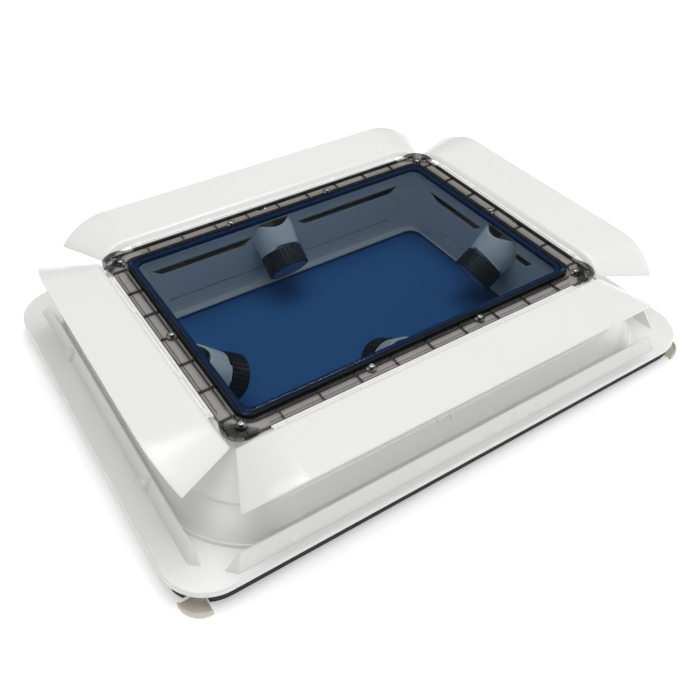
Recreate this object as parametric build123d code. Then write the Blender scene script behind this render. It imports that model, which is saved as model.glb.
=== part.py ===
# Roof vent with four flaps for a caravan: mm, z up, origin at the bottom centre
import os
from math import atan2, cos, degrees, radians, sin, tan

from build123d import *

os.makedirs("parts", exist_ok=True)

# Shares and counts that stay the same at any size
half_share = 0.5
double_share = 2
quarter_turn = 90
half_turn = 180
full_turn = 360
one_piece = 1
three_ways = 3

# Hinge line: everything on the tower is an offset of this rounded rectangle
hinge_half_x = 309.2
hinge_half_y = 220.7
hinge_corner_radius = 52.3
hinge_axis_inset = 1.5
hinge_axis_z = 135.4

# Flange with a turned-down rim
flange_half_x = 430.7
flange_half_y = 319.5
flange_corner_radius = 63.7
flange_top_z = 35.0
flange_thickness = 3.5
rim_bottom_z = 26.5
rim_thickness = 3.2
rim_edge_radius = 2.6

# Tower outside, as offsets from the hinge line and heights
plinth_foot_offset = 85.6
plinth_top_offset = 84.0
plinth_top_z = 39.4
wall_foot_offset = 82.3
wall_foot_z = 39.9
ledge_low_offset = 71.0
ledge_low_z = 54.9
crease_offset = 49.8
crease_low_z = 70.0
crease_high_z = 74.6
shoulder_offset = 2.0
shoulder_z = 118.0
deck_edge_offset = -5.0
tower_wall = 4.4
deck_top_z = 130.4
deck_thickness = 6.4
deck_opening_offset = -41.0

# Hinge rail along the edge of the deck
rail_outer_offset = -4.2
rail_inner_offset = -8.0
rail_top_z = 135.8
straight_half_long = 251.0
straight_half_short = 162.5

# Ridges that make a gutter round the foot of the tower
ridge_top_z = 56.0
ridge_inner_offset = 76.9
ridge_top_width = 2.2
ridge_foot_width = 13.4
ridge_half_long = 345.0
ridge_half_short = 257.0
ridge_hip_inner = 23.0
ridge_hip_outer = 10.0
bump_radius = 6.5
bump_edge_radius = 5.0
bump_top_z = 52.6
bump_offset = 8.2
bump_spacing = 139.0

# Vent windows in the tower slope and the slots behind them in the liner
window_low_z = 86.0
window_high_z = 108.0
slot_low_z = 94.0
slot_high_z = 106.0
window_taper = 18.0
back_window_ends = ((-240.0, -59.0), (22.0, 235.0))
side_window_ends = ((-137.0, 0.0), (70.0, 118.0))

# Liner of the well
liner_offset = -39.5
liner_wall = 2.5
liner_corner_radius = 26.0
liner_bottom_z = 9.5
sill_thickness = 2.5
sill_half_x = 268.0
sill_half_y = 168.0
sill_corner_radius = 22.0
liner_flange_width = 14.0
liner_flange_thickness = 3.0
drain_slot_length = 59.0
drain_slot_bridge = 3.4
drain_slot_height = 3.0
drain_slot_z = 38.0
drain_slots_long = 7
drain_slots_short = 3

# Smoked cover, its ribs and its fans at the corners
cover_offset = -8.3
cover_inner_offset = -33.0
cover_bottom_z = 134.9
cover_thickness = 2.5
cover_corner_radius = 12.0
fan_radius = 27.0
fan_ring_radius = 22.5
fan_rib_height = 1.0
cover_rib_offset = -26.5
cover_wall_gap = 0.8
rib_thickness = 1.6
rib_pitch = 57.5
rib_clearance = 1.2
gasket_inner_offset = -38.6
gasket_foot_offset = -46.0
pane_bottom_z = 136.2
pane_thickness = 3.2
pane_clearance = 0.2
pane_edge_radius = 1.3
pane_corner_radius = 15.0

# Screws of the cover
screw_corner_x = 280.0
screw_corner_y = 191.2
screw_side_x = 91.3
screw_side_y = 194.4
screw_end_x = 283.2
screw_head_radius = 3.5
screw_head_height = 2.4
screw_shank_radius = 1.9
screw_shank_length = 12.0
screw_boss_radius = 5.0
screw_recess_radius = 6.0
screw_recess_depth = 1.0
screw_recess_wall = 1.4
drive_radius = 1.5
drive_depth = 1.2

# Flap section when closed
flap_edge_offset = -0.1
flap_edge_drop = 0.9
flap_inner_width = 10.6
flap_outer_width = 85.5
flap_fall_angle = 53.4
flap_thickness = 3.0
flap_bend_radius = 8.4
flap_mitre_angle = 44.3
flap_full_angle = 64.0
barrel_radius = 2.2
hinge_rod_radius = 1.0
running_gap = 0.05
knuckle_length = 12.0
knuckle_gap = 0.4
flap_rib_height = 6.0
flap_rib_thickness = 1.8
flap_rib_run = 46.0
open_angles = {"back": 57.5, "left": 62.7, "front": 55.3, "right": 56.6}

# Lever on the flap
lever_radius = 13.0
lever_start_angle = -86.0
lever_eye_radius = 4.2
lever_pin_radius = 2.0
ear_thickness = 3.0
ear_gap = 0.6

# Push rod and knob, along an axis tilted down into the well
tilt_angle = 36.0
knob_face_y = 129.0
knob_face_z = 57.0
knob_open_reach = 1.4
knob_turn_angle = 150.0
rod_travel_rate = 12.5
knob_offsets = {"back": -24.0, "left": -45.0, "front": 24.0, "right": 45.0}
knob_radius = 34.5
knob_length = 31.0
knob_wall = 3.0
knob_groove_radius = 1.1
knob_grooves = 30
cap_radius = 30.0
cap_thickness = 1.6
hub_radius = 11.0
rod_radius = 6.0
rod_reach = 130.5
tongue_thickness = 7.0
tongue_width = 11.0
pin_slot_gap = 0.5
guide_wall = 3.4
guide_length = 52.0
boss_start = 36.5
boss_end_radius = 33.5
boss_root_radius = 41.0
boss_wall = 2.6
boss_end_wall = 3.0
index_peak = 32.8
index_steps = 6
index_starts = 3
index_step = 0.65
index_inner_radius = 28.0
cam_outer_radius = 25.0
cam_inner_radius = 20.0
cam_starts = 2
cam_sectors = 9
cam_step = 1.8
cam_base = 34.5
cam_gap = 0.5
circlip_radius = 9.0
circlip_thickness = 1.2
notch_gap = 1.5
notch_inner_offset = -12.0
notch_outer_offset = 10.0
notch_low_z = 108.0
notch_seal_gap = 13.0
gusset_spacing = 10.5
gusset_thickness = 3.0
gusset_top_z = 111.0
gusset_foot_z = 67.0
gusset_clearance = 1.2

# Seals between flap and tower
seal_low_z = 78.0
seal_high_z = 84.0
seal_thickness = 1.8

# Lower frame, its corner feet and the foam strips
frame_half_x = 409.0
frame_half_y = 301.0
frame_corner_radius = 45.0
frame_wall = 4.0
foot_half_x = 426.0
foot_half_y = 321.0
foot_corner_radius = 32.0
foot_height = 9.0
foot_shelf_z = 5.0
foot_lip = 3.0
foot_wall_inset = 10.0
foot_wall_radius = 48.0
foot_reach = 32.0
pan_thickness = 3.0
foam_thickness = 15.0
foam_bottom_z = 9.5
foam_end_gap = 0.4
foam_rim_gap = 0.3
post_radius = 6.0
post_x = 345.0
post_y = 235.0
post_end_x = 362.0
post_side_y = 262.0
frame_screw_radius = 2.2
frame_screw_head_radius = 4.4
frame_screw_head_height = 2.0
frame_screw_length = 16.0
roof_hole_radius = 2.6
roof_hole_x = 384.0
roof_hole_y = 278.0
roof_hole_middle_x = 130.0

# Blackout blind under the well
rail_inner_y = 171.0
rail_outer_y = 187.5
rail_bottom_z = 1.0
rail_wall = 1.5
rail_start_x = -286.0
rail_end_x = 298.0
cloth_z = 4.9
cloth_thickness = 0.5
cloth_half_y = 180.0
cloth_start_x = -286.5
cloth_end_x = 280.0
bar_width = 9.0
bar_height = 3.8
bar_half_y = 183.0
bar_tab_width = 60.0
bar_tab_reach = 8.0
bar_tab_drop = 1.4
roller_x = -303.5
roller_z = 16.0
roller_radius = 8.0
roller_bore = 6.8
roller_cap_length = 8.0
roller_half_y = 176.0
roller_axle_radius = 2.5
cassette_half_width = 15.5
cassette_bottom_z = 1.0
cassette_wall = 1.6
cassette_mouth = 3.6
cassette_half_y = 187.0

# Derived sizes
straight_x = hinge_half_x - hinge_corner_radius
straight_y = hinge_half_y - hinge_corner_radius
deck_under_z = deck_top_z - deck_thickness
cover_top_z = cover_bottom_z + cover_thickness
tilt_cos = cos(radians(tilt_angle))
tilt_sin = sin(radians(tilt_angle))
fall_cos = cos(radians(flap_fall_angle))
fall_sin = sin(radians(flap_fall_angle))
pan_top_z = liner_bottom_z + pan_thickness
ear_reach = tongue_thickness * half_share + ear_gap + ear_thickness
side_turns = {"back": 0, "left": quarter_turn, "front": half_turn, "right": -quarter_turn}
side_reach = {"back": hinge_half_y, "left": hinge_half_x, "front": hinge_half_y, "right": hinge_half_x}
side_straight = {"back": straight_x, "left": straight_y, "front": straight_x, "right": straight_y}
side_barrel = {
    "back": straight_half_long,
    "left": straight_half_short,
    "front": straight_half_long,
    "right": straight_half_short,
}


def save(node, shape):
    export_step(shape, "parts/" + node + ".step")
    print(node)


def group(pieces):
    return Compound(children=list(pieces))


def plate(half_x, half_y, radius, low, high):
    outline = RectangleRounded(half_x * double_share, half_y * double_share, radius)
    return Pos(0, 0, low) * extrude(outline, high - low)


def offset_outline(offset, height):
    wide = (hinge_half_x + offset) * double_share
    deep = (hinge_half_y + offset) * double_share
    return Pos(0, 0, height) * RectangleRounded(wide, deep, hinge_corner_radius + offset)


def offset_plate(offset, low, high):
    return extrude(offset_outline(offset, low), high - low)


def tower_solid(levels):
    body = None
    for lower, upper in zip(levels, levels[1:]):
        if lower[0] == upper[0]:
            tier = offset_plate(lower[0], lower[1], upper[1])
        else:
            tier = loft([offset_outline(*lower), offset_outline(*upper)], ruled=True)
        body = tier if body is None else body + tier
    return body


def box_between(low_x, high_x, low_y, high_y, low_z, high_z):
    block = Box(high_x - low_x, high_y - low_y, high_z - low_z, align=(Align.MIN,) * three_ways)
    return Pos(low_x, low_y, low_z) * block


def to_side(shape, side):
    return Rot(0, 0, side_turns[side]) * shape


def section(points):
    # A flat outline in the plane of outward distance and height, facing along the side
    return Plane.YZ * make_face(Polyline(*points, close=True))


def slab(points, middle, thickness):
    return Pos(middle, 0, 0) * extrude(section(points), thickness * half_share, both=True)


def rod_between(radius, start, end):
    # A round bar along the tilted axis, by distance from the knob's face
    return Pos(0, 0, start) * extrude(Circle(radius), end - start)


def tube_between(radius, bore, start, end):
    return Pos(0, 0, start) * extrude(Circle(radius) - Circle(bore), end - start)


def on_axis(shape, side):
    # The tilted axis runs up and outward through the middle of the knob
    reach = knob_face_y + side_reach[side] - hinge_half_y
    lean = -(quarter_turn - tilt_angle)
    return Pos(knob_offsets[side], reach, knob_face_z) * Rot(lean, 0, 0) * shape


def sector(radius, bore, start, sweep, low, high):
    ring = Circle(radius) - Circle(bore)
    far = radius * double_share
    last = start + sweep
    middle = start + sweep * half_share
    tips = [(far * cos(radians(a)), far * sin(radians(a))) for a in (start, middle, last)]
    wedge = make_face(Polyline((0, 0), *tips, close=True))
    return Pos(0, 0, low) * extrude(ring & wedge, high - low)


def window_prism(low_u, high_u, low_z, high_z, near, far):
    # A window with pointed ends, cut straight through one side
    run = min(window_taper, (high_u - low_u) * half_share * half_share)
    outline = make_face(
        Polyline(
            (low_u, high_z),
            (low_u + run, low_z),
            (high_u - run, low_z),
            (high_u, high_z),
            close=True,
        )
    )
    return Pos(0, far, 0) * extrude(Plane.XZ * outline, far - near)


def side_windows(side):
    ends = back_window_ends if side in ("back", "front") else side_window_ends
    if side in ("front", "left"):
        return [(-high, -low) for low, high in ends]
    return list(ends)


def make_base():
    wall = tower_wall
    outside = [
        (plinth_foot_offset, flange_top_z - flange_thickness),
        (plinth_foot_offset, flange_top_z),
        (plinth_top_offset, plinth_top_z),
        (wall_foot_offset, wall_foot_z),
        (ledge_low_offset, ledge_low_z),
        (crease_offset, crease_low_z),
        (crease_offset, crease_high_z),
        (shoulder_offset, shoulder_z),
        (deck_edge_offset, shoulder_z + rail_wall),
        (deck_edge_offset, deck_top_z),
    ]
    filled = tower_solid(outside)
    inside = [
        (plinth_foot_offset - wall, flange_top_z - flange_thickness - wall),
        (plinth_foot_offset - wall, flange_top_z - rail_wall),
        (wall_foot_offset - wall, wall_foot_z - rail_wall),
        (ledge_low_offset - wall, ledge_low_z - rail_wall),
        (crease_offset - wall, crease_low_z - rail_wall),
        (shoulder_offset - wall, shoulder_z - wall),
        (deck_edge_offset - wall, shoulder_z),
        (deck_edge_offset - wall, deck_under_z),
    ]
    hollow = tower_solid(inside)
    flange = plate(
        flange_half_x,
        flange_half_y,
        flange_corner_radius,
        flange_top_z - flange_thickness,
        flange_top_z,
    )
    rim = plate(flange_half_x, flange_half_y, flange_corner_radius, rim_bottom_z, flange_top_z)
    rim -= plate(
        flange_half_x - rim_thickness,
        flange_half_y - rim_thickness,
        flange_corner_radius - rim_thickness,
        rim_bottom_z,
        flange_top_z,
    )
    flange = flange + rim
    flange = fillet(flange.edges().filter_by_position(Axis.Z, flange_top_z, flange_top_z), rim_edge_radius)
    body = flange + filled
    for side in side_turns:
        body += make_ridge(side)
    body -= hollow
    body -= plate(
        hinge_half_x + deck_opening_offset,
        hinge_half_y + deck_opening_offset,
        liner_corner_radius,
        deck_under_z - wall,
        deck_top_z + wall,
    )
    for side in side_turns:
        body += make_hinge_rail(side)
        body += make_gussets(side)
        body -= make_notch(side)
        for low, high in side_windows(side):
            reach = side_reach[side]
            cut = window_prism(low, high, window_low_z, window_high_z, reach - wall, reach + crease_offset)
            body -= to_side(cut, side)
    for x, y in cover_screw_places():
        boss = Pos(x, y, deck_under_z - screw_shank_length) * Cylinder(
            screw_boss_radius, screw_shank_length, align=(Align.CENTER, Align.CENTER, Align.MIN)
        )
        body += boss
        body -= Pos(x, y, deck_under_z - screw_shank_length) * Cylinder(
            screw_shank_radius,
            screw_shank_length + deck_thickness + deck_thickness,
            align=(Align.CENTER, Align.CENTER, Align.MIN),
        )
    for x, y in post_places():
        post = Pos(x, y, pan_top_z) * Cylinder(
            post_radius, shoulder_z, align=(Align.CENTER, Align.CENTER, Align.MIN)
        )
        body += post & tower_with_foot(filled)
        body -= Pos(x, y, pan_top_z - pan_thickness) * Cylinder(
            frame_screw_radius, frame_screw_length, align=(Align.CENTER, Align.CENTER, Align.MIN)
        )
    return body


def tower_with_foot(filled):
    return filled + offset_plate(plinth_foot_offset, pan_top_z, flange_top_z)


def make_ridge(side):
    reach = side_reach[side] + ridge_inner_offset
    run = ridge_half_long if side in ("back", "front") else ridge_half_short
    foot = make_face(
        Polyline(
            (-run - ridge_hip_inner, reach),
            (run + ridge_hip_inner, reach),
            (run + ridge_hip_outer, reach + ridge_foot_width),
            (-run - ridge_hip_outer, reach + ridge_foot_width),
            close=True,
        )
    )
    top = make_face(
        Polyline(
            (-run, reach),
            (run, reach),
            (run, reach + ridge_top_width),
            (-run, reach + ridge_top_width),
            close=True,
        )
    )
    low = flange_top_z - flange_thickness * half_share
    ridge = loft([Pos(0, 0, low) * foot, Pos(0, 0, ridge_top_z) * top], ruled=True)
    if side in ("left", "right"):
        for way in (-bump_spacing, bump_spacing):
            bump = Cylinder(bump_radius, bump_top_z - low, align=(Align.CENTER, Align.CENTER, Align.MIN))
            rims = bump.edges().filter_by_position(Axis.Z, bump_top_z - low, bump_top_z - low)
            ridge += Pos(way, reach + bump_offset, low) * fillet(rims, bump_edge_radius)
    return to_side(ridge, side)


def knuckle_places(side):
    # The frame's own knuckles, kept clear of the lever
    run = side_barrel[side] - knuckle_length
    share = run * half_share
    return [-run, -share, share, run]


def make_hinge_rail(side):
    reach = side_reach[side]
    run = side_barrel[side]
    rail = box_between(
        -run,
        run,
        reach + rail_inner_offset,
        reach + rail_outer_offset,
        deck_top_z - rib_thickness,
        rail_top_z,
    )
    for place in knuckle_places(side):
        half = knuckle_length * half_share
        lug = box_between(
            place - half,
            place + half,
            reach + rail_outer_offset - rib_thickness,
            reach - hinge_axis_inset,
            hinge_axis_z - barrel_radius,
            hinge_axis_z + barrel_radius * half_share * half_share,
        )
        barrel = Pos(place, reach - hinge_axis_inset, hinge_axis_z) * Rot(0, quarter_turn, 0) * Cylinder(
            barrel_radius, knuckle_length
        )
        rail += lug + barrel
    bore = Pos(0, reach - hinge_axis_inset, hinge_axis_z) * Rot(0, quarter_turn, 0) * Cylinder(
        hinge_rod_radius, run * double_share + knuckle_length
    )
    return to_side(rail - bore, side)


def flap_line(distance, inset):
    # A point on the closed flap's outer strip, by distance from the bend and depth under the skin
    bend_z = hinge_axis_z - flap_edge_drop
    bend_out = flap_edge_offset + flap_inner_width
    return (bend_out + distance * fall_cos - inset * fall_sin, bend_z - distance * fall_sin - inset * fall_cos)


def slope_offset(height):
    share = (height - crease_high_z) / (shoulder_z - crease_high_z)
    return crease_offset + (shoulder_offset - crease_offset) * share


def flap_offset_under(height, inset):
    # How far out the closed flap's under side lies at a height
    start = flap_line(0, inset)
    return start[0] + (start[1] - height) / tan(radians(flap_fall_angle))


def make_gussets(side):
    reach = side_reach[side]
    depth = flap_thickness + gusset_clearance
    points = [
        (reach + slope_offset(crease_high_z) - depth, crease_high_z),
        (reach + crease_offset, gusset_foot_z),
        (reach + flap_offset_under(gusset_foot_z, depth), gusset_foot_z),
        (reach + flap_offset_under(gusset_top_z, depth), gusset_top_z),
        (reach + slope_offset(gusset_top_z) - depth * half_share, gusset_top_z),
    ]
    pair = None
    for way in (-gusset_spacing, gusset_spacing):
        rib = slab(points, knob_offsets[side] + way, gusset_thickness)
        pair = rib if pair is None else pair + rib
    return to_side(pair, side)


def make_notch(side):
    # Room for the lever and the push rod, with the hinge rail left whole above the deck
    reach = side_reach[side]
    middle = knob_offsets[side]
    half = ear_reach + notch_gap
    cut = box_between(
        middle - half,
        middle + half,
        reach + notch_inner_offset,
        reach + notch_outer_offset,
        notch_low_z,
        deck_top_z,
    )
    cut += box_between(
        middle - half,
        middle + half,
        reach + rail_outer_offset,
        reach + notch_outer_offset,
        notch_low_z,
        rail_top_z + rail_wall,
    )
    cut += on_axis(rod_between(rod_radius + rib_clearance, guide_length, rod_reach), side)
    return to_side(cut, side)


def cover_screw_places():
    places = []
    for side_x in (-screw_corner_x, screw_corner_x):
        for side_y in (-screw_corner_y, screw_corner_y):
            places.append((side_x, side_y))
    for side_x in (-screw_side_x, screw_side_x):
        for side_y in (-screw_side_y, screw_side_y):
            places.append((side_x, side_y))
    places.append((-screw_end_x, 0))
    places.append((screw_end_x, 0))
    return places


def post_places():
    places = [(x, y) for x in (-post_x, post_x) for y in (-post_y, post_y)]
    places += [(0, -post_side_y), (0, post_side_y), (-post_end_x, 0), (post_end_x, 0)]
    return places


def liner_plate(grow, low, high):
    half_x = hinge_half_x + liner_offset + grow
    half_y = hinge_half_y + liner_offset + grow
    return plate(half_x, half_y, liner_corner_radius + grow, low, high)


def make_liner():
    body = liner_plate(liner_wall, liner_bottom_z, deck_under_z)
    body += liner_plate(liner_wall + liner_flange_width, pan_top_z, pan_top_z + liner_flange_thickness)
    body -= liner_plate(0, liner_bottom_z + sill_thickness, deck_under_z)
    body -= plate(
        sill_half_x,
        sill_half_y,
        sill_corner_radius,
        liner_bottom_z,
        liner_bottom_z + sill_thickness,
    )
    for side in side_turns:
        reach = side_reach[side] + liner_offset
        for low, high in side_windows(side):
            cut = window_prism(low, high, slot_low_z, slot_high_z, reach - liner_wall, reach + liner_wall * double_share)
            body -= to_side(cut, side)
        count = drain_slots_long if side in ("back", "front") else drain_slots_short
        pitch = drain_slot_length + drain_slot_bridge
        for step in range(count):
            middle = (step - (count - one_piece) * half_share) * pitch
            cut = box_between(
                middle - drain_slot_length * half_share,
                middle + drain_slot_length * half_share,
                reach - liner_wall,
                reach + liner_wall * double_share,
                drain_slot_z,
                drain_slot_z + drain_slot_height,
            )
            body -= to_side(cut, side)
    for side in side_turns:
        boss, hollow = make_boss(side)
        body += boss
        body -= hollow
    for x, y in liner_screw_places():
        body -= Pos(x, y, pan_top_z) * Cylinder(
            frame_screw_radius, liner_flange_thickness, align=(Align.CENTER, Align.CENTER, Align.MIN)
        )
    return body


def make_boss(side):
    # A cone that leans out of the liner wall, with a guide tube for the push rod
    reach = knob_face_y + side_reach[side] - hinge_half_y
    wall_run = (side_reach[side] + liner_offset + liner_wall - reach) / tilt_cos
    cone_length = wall_run - boss_start + boss_root_radius * tan(radians(tilt_angle))
    grow = (boss_root_radius - boss_end_radius) / cone_length
    far = boss_start + cone_length
    outer = loft(
        [
            Pos(0, 0, boss_start) * Circle(boss_end_radius),
            Pos(0, 0, far) * Circle(boss_end_radius + grow * cone_length),
        ]
    )
    start = boss_start + boss_end_wall
    inner = loft(
        [
            Pos(0, 0, start) * Circle(boss_end_radius - boss_wall),
            Pos(0, 0, far) * Circle(boss_end_radius + grow * cone_length - boss_wall),
        ]
    )
    inner -= rod_between(rod_radius + running_gap + guide_wall, boss_start, far)
    bore = rod_between(rod_radius + running_gap, 0, far + guide_length)
    inside = liner_plate(liner_wall, 0, deck_under_z)
    outer = to_side(on_axis(outer, side), side) & inside
    guide = tube_between(
        rod_radius + running_gap + guide_wall, rod_radius + running_gap, boss_start, boss_start + guide_length
    )
    cam = make_cam()
    outer += to_side(on_axis(guide + cam, side), side)
    hollow = to_side(on_axis(inner + bore, side), side)
    return outer, hollow


def make_cam():
    # Two stepped ramps that draw the knob back as it is turned
    sweep = full_turn / (cam_starts * cam_sectors)
    body = tube_between(cam_outer_radius, cam_inner_radius, cam_base, boss_start + rib_thickness)
    for start in range(cam_starts):
        for step in range(cam_sectors):
            angle = (start * cam_sectors + step) * sweep
            rise = step * cam_step
            if rise:
                body += sector(cam_outer_radius, cam_inner_radius, angle, sweep, cam_base - rise, cam_base)
    return body


def liner_screw_places():
    half_x = hinge_half_x + liner_offset + liner_wall + liner_flange_width * half_share
    half_y = hinge_half_y + liner_offset + liner_wall + liner_flange_width * half_share
    inset = screw_corner_y * half_share
    places = [(x, y) for x in (-screw_corner_y, 0, screw_corner_y) for y in (-half_y, half_y)]
    places += [(half_x, y) for y in (-inset, inset)]
    return places


def make_rim():
    # The smoked frame: a thin plate with ribs and walls under it, and a fan over each corner
    half_x = hinge_half_x + cover_offset
    half_y = hinge_half_y + cover_offset
    top = plate(half_x, half_y, cover_corner_radius, cover_bottom_z, cover_top_z)
    for side_x in (-screw_corner_x, screw_corner_x):
        for side_y in (-screw_corner_y, screw_corner_y):
            top += Pos(side_x, side_y, cover_bottom_z) * Cylinder(
                fan_radius, cover_thickness, align=(Align.CENTER, Align.CENTER, Align.MIN)
            )
    walls = plate(half_x, half_y, cover_corner_radius, deck_top_z, cover_bottom_z)
    walls -= plate(
        half_x - rib_thickness,
        half_y - rib_thickness,
        cover_corner_radius - rib_thickness,
        deck_top_z,
        cover_bottom_z,
    )
    inner_half_x = hinge_half_x + cover_inner_offset
    inner_half_y = hinge_half_y + cover_inner_offset
    for offset in (cover_rib_offset, cover_inner_offset + rib_thickness):
        ring = offset_plate(offset, deck_top_z, cover_bottom_z)
        walls += ring - offset_plate(offset - rib_thickness, deck_top_z, cover_bottom_z)
    ribs = None
    for step in range(-int(half_x / rib_pitch), int(half_x / rib_pitch) + one_piece):
        rib = box_between(
            step * rib_pitch - rib_thickness * half_share,
            step * rib_pitch + rib_thickness * half_share,
            -half_y,
            half_y,
            deck_top_z,
            cover_bottom_z,
        )
        if abs(step * rib_pitch) < screw_corner_x - fan_radius * half_share:
            ribs = rib if ribs is None else ribs + rib
    for step in range(-int(half_y / rib_pitch), int(half_y / rib_pitch) + one_piece):
        rib = box_between(
            -half_x,
            half_x,
            step * rib_pitch - rib_thickness * half_share,
            step * rib_pitch + rib_thickness * half_share,
            deck_top_z,
            cover_bottom_z,
        )
        ribs += rib
    # The flaps' curved corners swing past the walls, so these follow the hinge line
    body = top + ((walls + ribs) & offset_plate(-cover_wall_gap, deck_top_z, cover_bottom_z))
    for side_x in (-screw_corner_x, screw_corner_x):
        for side_y in (-screw_corner_y, screw_corner_y):
            heading = degrees(atan2(side_y, side_x))
            fan = make_fan_ribs()
            body += Pos(side_x, side_y, cover_top_z) * Rot(0, 0, heading) * fan
    for x, y in cover_screw_places():
        body += Pos(x, y, deck_top_z) * Cylinder(
            screw_recess_radius + screw_recess_wall,
            cover_top_z - deck_top_z,
            align=(Align.CENTER, Align.CENTER, Align.MIN),
        )
    body -= plate(
        inner_half_x,
        inner_half_y,
        hinge_corner_radius + cover_inner_offset,
        deck_top_z - deck_thickness,
        cover_top_z + cover_thickness,
    )
    for x, y in cover_screw_places():
        body -= Pos(x, y, cover_top_z - screw_recess_depth) * Cylinder(
            screw_recess_radius,
            cover_thickness,
            align=(Align.CENTER, Align.CENTER, Align.MIN),
        )
        body -= Pos(x, y, deck_top_z) * Cylinder(
            screw_shank_radius + running_gap,
            cover_thickness + cover_top_z - deck_top_z,
            align=(Align.CENTER, Align.CENTER, Align.MIN),
        )
    return body


def make_fan_ribs():
    # Raised ribs on a fan: a quarter ring and the spokes that carry it
    ring = sector(
        fan_ring_radius,
        fan_ring_radius - rib_thickness,
        -quarter_turn * half_share,
        quarter_turn,
        0,
        fan_rib_height,
    )
    for turn in (-quarter_turn * half_share, 0, quarter_turn * half_share):
        spoke = box_between(
            screw_recess_radius,
            fan_ring_radius - rib_thickness * half_share,
            -rib_thickness * half_share,
            rib_thickness * half_share,
            0,
            fan_rib_height,
        )
        ring += Rot(0, 0, turn) * spoke
    return ring


def make_gasket():
    body = plate(
        hinge_half_x + cover_inner_offset,
        hinge_half_y + cover_inner_offset,
        hinge_corner_radius + cover_inner_offset,
        deck_top_z,
        pane_bottom_z + pane_clearance * three_ways,
    )
    body -= plate(
        hinge_half_x + gasket_inner_offset + pane_clearance,
        hinge_half_y + gasket_inner_offset + pane_clearance,
        pane_corner_radius + pane_clearance,
        pane_bottom_z,
        cover_top_z + cover_thickness,
    )
    body -= plate(
        hinge_half_x + gasket_foot_offset,
        hinge_half_y + gasket_foot_offset,
        pane_corner_radius,
        deck_top_z,
        cover_top_z + cover_thickness,
    )
    return body


def make_pane():
    body = plate(
        hinge_half_x + gasket_inner_offset,
        hinge_half_y + gasket_inner_offset,
        pane_corner_radius,
        pane_bottom_z,
        pane_bottom_z + pane_thickness,
    )
    top = pane_bottom_z + pane_thickness
    return fillet(body.edges().filter_by_position(Axis.Z, top, top), pane_edge_radius)


def make_cover_screws():
    screws = []
    seat = cover_top_z - screw_recess_depth
    for x, y in cover_screw_places():
        head = Pos(x, y, seat) * Cylinder(
            screw_head_radius, screw_head_height, align=(Align.CENTER, Align.CENTER, Align.MIN)
        )
        rims = head.edges().filter_by_position(Axis.Z, seat + screw_head_height, seat + screw_head_height)
        head = fillet(rims, screw_head_height * half_share)
        shank = Pos(x, y, seat - screw_shank_length) * Cylinder(
            screw_shank_radius, screw_shank_length, align=(Align.CENTER, Align.CENTER, Align.MIN)
        )
        drive = Pos(x, y, seat + screw_head_height) * Box(
            drive_radius * double_share, drive_depth * half_share, drive_depth
        )
        drive += Pos(x, y, seat + screw_head_height) * Box(
            drive_depth * half_share, drive_radius * double_share, drive_depth
        )
        screws.append(head + shank - drive)
    return group(screws)


def flap_section():
    # The closed flap: a narrow flat strip, a soft bend and a wide strip falling outward
    edge_z = hinge_axis_z - flap_edge_drop
    bend = flap_line(0, 0)
    tip = flap_line(flap_outer_width, 0)
    tip_under = flap_line(flap_outer_width, flap_thickness)
    shift = flap_thickness * tan(radians(flap_fall_angle * half_share))
    bend_under = (bend[0] - shift, edge_z - flap_thickness)
    points = [
        (flap_edge_offset, edge_z),
        bend,
        tip,
        tip_under,
        bend_under,
        (flap_edge_offset, edge_z - flap_thickness),
    ]
    return points, bend, bend_under


def shifted(points, out):
    return [(out + point[0], point[1]) for point in points]


def flap_face(out):
    points, bend, bend_under = flap_section()
    face = make_face(Polyline(*shifted(points, out), close=True))
    corners = face.vertices()
    outer = min(corners, key=lambda v: abs(v.X - out - bend[0]) + abs(v.Y - bend[1]))
    face = fillet([outer], flap_bend_radius)
    corners = face.vertices()
    under = min(corners, key=lambda v: abs(v.X - out - bend_under[0]) + abs(v.Y - bend_under[1]))
    return fillet([under], flap_bend_radius - flap_thickness)


def make_flap(side):
    reach = side_reach[side]
    run = side_straight[side]
    straight = Plane.YZ * flap_face(reach)
    body = extrude(straight, run, both=True)
    for way in (-1, 1):
        profile = Plane.YZ * flap_face(hinge_corner_radius)
        turned = revolve(profile, Axis.Z, -flap_mitre_angle * way)
        body += Pos(way * run, reach - hinge_corner_radius, 0) * turned
    barrel = Pos(0, reach - hinge_axis_inset, hinge_axis_z) * Rot(0, quarter_turn, 0) * Cylinder(
        barrel_radius, side_barrel[side] * double_share
    )
    body += barrel
    for place in knuckle_places(side):
        half = knuckle_length * half_share + knuckle_gap
        body -= box_between(
            place - half,
            place + half,
            reach - hinge_axis_inset - barrel_radius - knuckle_gap,
            reach - hinge_axis_inset + barrel_radius + knuckle_gap,
            hinge_axis_z - barrel_radius - flap_thickness,
            hinge_axis_z + barrel_radius + knuckle_gap,
        )
    body -= Pos(0, reach - hinge_axis_inset, hinge_axis_z) * Rot(0, quarter_turn, 0) * Cylinder(
        hinge_rod_radius + running_gap, run * double_share
    )
    for place in flap_rib_places(side):
        points = [
            flap_line(flap_bend_radius, flap_thickness - running_gap),
            flap_line(flap_bend_radius, flap_thickness + flap_rib_height),
            flap_line(flap_bend_radius + flap_rib_run, flap_thickness - running_gap),
        ]
        body += slab(shifted(points, reach), place, flap_rib_thickness)
    return body


def flap_rib_places(side):
    run = side_straight[side]
    count = int(run / rib_pitch)
    places = [(step + half_share) * rib_pitch for step in range(-count, count)]
    clear = notch_seal_gap + gusset_spacing
    return [place for place in places if abs(place - knob_offsets[side]) > clear]


def lever_point(angle, radius):
    turn = radians(lever_start_angle + angle)
    return (-hinge_axis_inset + radius * cos(turn), hinge_axis_z + radius * sin(turn))


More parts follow.
